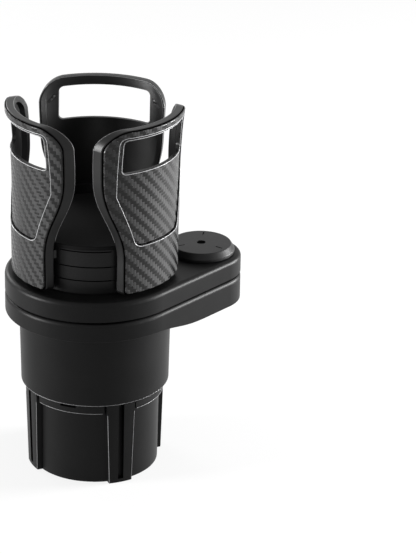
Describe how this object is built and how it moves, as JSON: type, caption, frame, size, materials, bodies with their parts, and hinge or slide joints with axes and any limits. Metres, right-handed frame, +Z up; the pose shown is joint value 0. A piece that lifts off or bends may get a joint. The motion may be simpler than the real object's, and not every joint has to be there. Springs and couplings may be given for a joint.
{
  "type": "rotating car cup holder",
  "caption": "Car cup holder with a lower cup on a ribbed sleeve and an upper holder that swivels over it and grips with sliding jaws.",
  "frame": {"origin": "centre of the base sleeve's foot, on the axis of the lower cup", "axes": "+Z up along the cup's axis, +X towards the swivel pivot, at rest with the upper holder over the cup"},
  "size_m": [0.1287, 0.094, 0.2004],
  "materials": {
    "black_plastic": "fine satin moulded texture",
    "jaw_plastic": "smooth satin",
    "cap_plastic": "satin",
    "carbon_trim": "twill weave pattern, satin",
    "mat_rubber": "matt",
    "acetal": "smooth",
    "steel": "zinc plated"
  },
  "bodies": {
    "lower_body": {"base_sleeve": "black_plastic", "lower_cup": "black_plastic", "friction_washer": "acetal", "disc_spring": "steel", "pivot_cap": "cap_plastic", "pivot_screw": "steel"},
    "upper_body": {"upper_plate": "black_plastic", "base_plate": "black_plastic", "base_plate_screws": "steel", "hub_lower": "black_plastic", "hub_middle": "black_plastic", "hub_upper": "black_plastic", "hub_cover": "black_plastic", "hub_screws": "steel", "plate_screws": "steel", "cup_mat": "mat_rubber"},
    "right_jaw": {"jaw_right": "jaw_plastic", "trim_right": "carbon_trim"},
    "rear_jaw": {"jaw_rear": "jaw_plastic", "trim_rear": "carbon_trim"},
    "left_jaw": {"jaw_left": "jaw_plastic", "trim_left": "carbon_trim"},
    "gear": {"pinion": "acetal"}
  },
  "joints": [
    {"name": "swivel", "type": "hinge", "parent": "lower_body", "child": "upper_body", "pos_m": [0.0605, 0, 0.1], "axis": [0, 0, 1], "continuous": true},
    {"name": "right_jaw_slide", "type": "slide", "parent": "upper_body", "child": "right_jaw", "axis": [0.5, -0.866, 0], "range_m": [0, 0.03]},
    {"name": "rear_jaw_slide", "type": "slide", "parent": "upper_body", "child": "rear_jaw", "axis": [0.5, 0.866, 0], "range_m": [0, 0.03]},
    {"name": "left_jaw_slide", "type": "slide", "parent": "upper_body", "child": "left_jaw", "axis": [-1, 0, 0], "range_m": [0, 0.03]},
    {"name": "gear_spin", "type": "hinge", "parent": "upper_body", "child": "gear", "pos_m": [0, 0, 0.12], "axis": [0, 0, -1], "range_deg": [0, 459]}
  ],
  "couplings": [
    {"joint": "rear_jaw_slide", "follows": "right_jaw_slide", "ratio": 1},
    {"joint": "left_jaw_slide", "follows": "right_jaw_slide", "ratio": 1},
    {"joint": "gear_spin", "follows": "right_jaw_slide", "rad_per_m": 266.67}
  ]
}
